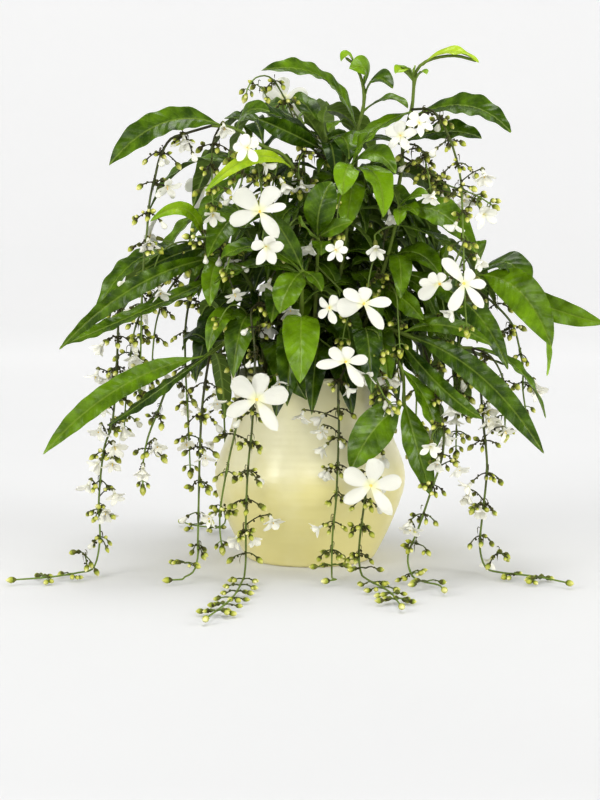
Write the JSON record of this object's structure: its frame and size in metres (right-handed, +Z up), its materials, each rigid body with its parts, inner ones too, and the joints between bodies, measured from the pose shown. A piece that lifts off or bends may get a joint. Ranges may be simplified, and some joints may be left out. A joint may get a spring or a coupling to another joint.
{
  "type": "potted chain of glory plant",
  "caption": "Arching shrub with glossy pointed leaves, long hanging chains of buds and white flowers, in a round-bellied glazed pot",
  "frame": {"origin": "The middle of the pot foot, on the surface that the pot stands on", "axes": "+Z is up, +X is to the right in the picture, and -Y faces the viewer"},
  "size_m": [0.5716, 0.5761, 0.5016],
  "materials": {
    "pot": "glossy pale yellow glaze",
    "soil": "moist potting soil",
    "leaf": "glossy living leaf and green stem",
    "flower_chain": "living stalk and buds",
    "petal": "soft white petal"
  },
  "bodies": {
    "root": {"pot": "pot", "soil": "soil", "leafy_stem_crown": "leaf", "leafy_stem_centre_left": "leaf", "leafy_stem_left_arch": "leaf", "leafy_stem_top_right": "leaf", "leafy_stem_front_apex": "leaf", "leafy_stem_front_star": "leaf", "leafy_stem_right_star": "leaf", "leafy_stem_right_mid": "leaf", "leafy_stem_right_low": "leaf", "leafy_stem_right_far": "leaf", "leafy_stem_left_mid": "leaf", "leafy_stem_left_low": "leaf", "leafy_stem_centre_low": "leaf", "leafy_stem_front_right_low": "leaf", "leafy_stem_far_1": "leaf", "leafy_stem_far_2": "leaf", "leafy_stem_far_3": "leaf", "leafy_stem_far_4": "leaf", "leafy_stem_far_5": "leaf", "leafy_stem_far_6": "leaf", "leafy_stem_far_7": "leaf", "flower_chain_left_outer": "flower_chain", "flower_chain_left_long": "flower_chain", "flower_chain_left_inner": "flower_chain", "flower_chain_front_left": "flower_chain", "flower_chain_front_left_short": "flower_chain", "flower_chain_front_long": "flower_chain", "flower_chain_front_mid": "flower_chain", "flower_chain_front_right": "flower_chain", "flower_chain_right_low": "flower_chain", "flower_chain_right_long": "flower_chain", "flower_chain_right_upper": "flower_chain", "flower_chain_right_short": "flower_chain", "flower_chain_far_1": "flower_chain", "flower_chain_far_2": "flower_chain", "flower_chain_far_3": "flower_chain", "flower_chain_far_5": "flower_chain", "flower_chain_far_7": "flower_chain", "bloom_1": "petal", "bloom_2": "petal", "bloom_3": "petal", "bloom_4": "petal", "bloom_5": "petal", "bloom_6": "petal", "bloom_7": "petal", "bloom_8": "petal", "bloom_9": "petal", "bloom_10": "petal", "bloom_11": "petal", "bloom_12": "petal", "bloom_13": "petal", "bloom_14": "petal", "bloom_15": "petal", "bloom_16": "petal", "bloom_17": "petal", "bloom_18": "petal", "bloom_19": "petal", "bloom_20": "petal"}
  },
  "joints": []
}
